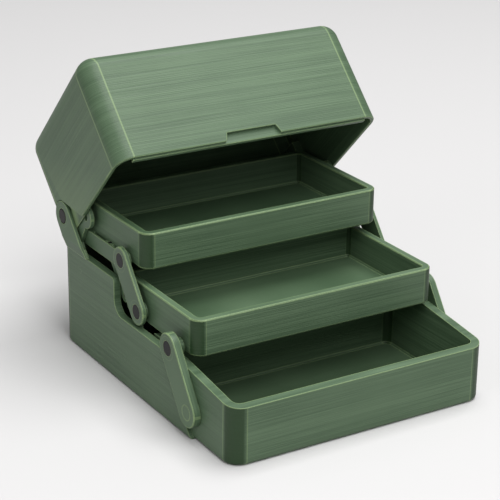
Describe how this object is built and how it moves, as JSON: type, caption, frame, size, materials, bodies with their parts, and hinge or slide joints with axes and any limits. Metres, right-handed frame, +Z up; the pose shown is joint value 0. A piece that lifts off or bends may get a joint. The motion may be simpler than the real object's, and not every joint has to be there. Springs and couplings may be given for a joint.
{
  "type": "cantilever organizer box",
  "caption": "Green cantilever organizer box shown open: a low front bin and a taller rear bay, stepped trays on parallel side arms, and a deep lid hinged on side brackets.",
  "frame": {"origin": "on the underside at the middle of the base", "axes": "+X to the box's right seen from its front, -Y towards the front bin, +Z up"},
  "size_m": [0.1684, 0.2245, 0.1738],
  "materials": {
    "base_green": "satin, fine level print lines",
    "tray_green": "satin, fine level print lines",
    "lid_green": "satin, fine print lines parallel to its rim",
    "arm_green": "satin",
    "pin_green": "satin",
    "pin_black": "matt"
  },
  "bodies": {
    "base": {"base_box": "base_green", "lid_bracket_left": "arm_green", "lid_bracket_right": "arm_green", "bracket_rivets": "pin_black", "lower_arm_pivot_pins": "pin_green", "lower_rear_pivot_pins": "pin_black"},
    "lower_front_arms": {"lower_front_arm_left": "arm_green", "lower_front_arm_right": "arm_green"},
    "lower_rear_arms": {"lower_rear_arm_left": "arm_green", "lower_rear_arm_right": "arm_green"},
    "middle_tray": {"middle_tray": "tray_green", "middle_tray_front_pins": "pin_black", "middle_tray_rear_pins": "pin_black", "upper_arm_pivot_pins": "pin_black", "upper_rear_pivot_pins": "pin_black"},
    "upper_front_arms": {"upper_front_arm_left": "arm_green", "upper_front_arm_right": "arm_green"},
    "upper_rear_arms": {"upper_rear_arm_left": "arm_green", "upper_rear_arm_right": "arm_green"},
    "upper_tray": {"upper_tray": "tray_green", "upper_tray_rail_left": "arm_green", "upper_tray_rail_right": "arm_green", "upper_tray_front_pins": "pin_black", "upper_tray_rear_pins": "pin_black"},
    "lid": {"lid": "lid_green", "lid_hinge_pins": "pin_black"}
  },
  "joints": [
    {"name": "lower_arm_swing", "type": "hinge", "parent": "base", "child": "lower_front_arms", "pos_m": [0, -0.0553, 0.0159], "axis": [1, 0, 0], "range_deg": [0, 74.5]},
    {"name": "middle_tray_level", "type": "hinge", "parent": "lower_front_arms", "child": "middle_tray", "pos_m": [0, -0.0354, 0.0444], "axis": [1, 0, 0], "range_deg": [-74.5, 0]},
    {"name": "lower_rear_arm_swing", "type": "hinge", "parent": "base", "child": "lower_rear_arms", "pos_m": [0, -0.0049, 0.0169], "axis": [1, 0, 0], "range_deg": [0, 74.5]},
    {"name": "upper_arm_swing", "type": "hinge", "parent": "middle_tray", "child": "upper_front_arms", "pos_m": [0, 0.0047, 0.0491], "axis": [1, 0, 0], "range_deg": [0, 97.5]},
    {"name": "upper_tray_level", "type": "hinge", "parent": "upper_front_arms", "child": "upper_tray", "pos_m": [0, 0.0232, 0.0723], "axis": [1, 0, 0], "range_deg": [-97.5, 0]},
    {"name": "upper_rear_arm_swing", "type": "hinge", "parent": "middle_tray", "child": "upper_rear_arms", "pos_m": [0, 0.0247, 0.0508], "axis": [1, 0, 0], "range_deg": [0, 97.5]},
    {"name": "lid_hinge", "type": "hinge", "parent": "base", "child": "lid", "pos_m": [0, 0.0878, 0.0775], "axis": [1, 0, 0], "range_deg": [0, 45.5]}
  ],
  "couplings": [
    {"joint": "middle_tray_level", "follows": "lower_arm_swing", "ratio": -1},
    {"joint": "lower_rear_arm_swing", "follows": "lower_arm_swing", "ratio": 1},
    {"joint": "upper_arm_swing", "follows": "lower_arm_swing", "ratio": 1.3074},
    {"joint": "upper_tray_level", "follows": "lower_arm_swing", "ratio": -1.3074},
    {"joint": "upper_rear_arm_swing", "follows": "lower_arm_swing", "ratio": 1.3074}
  ]
}
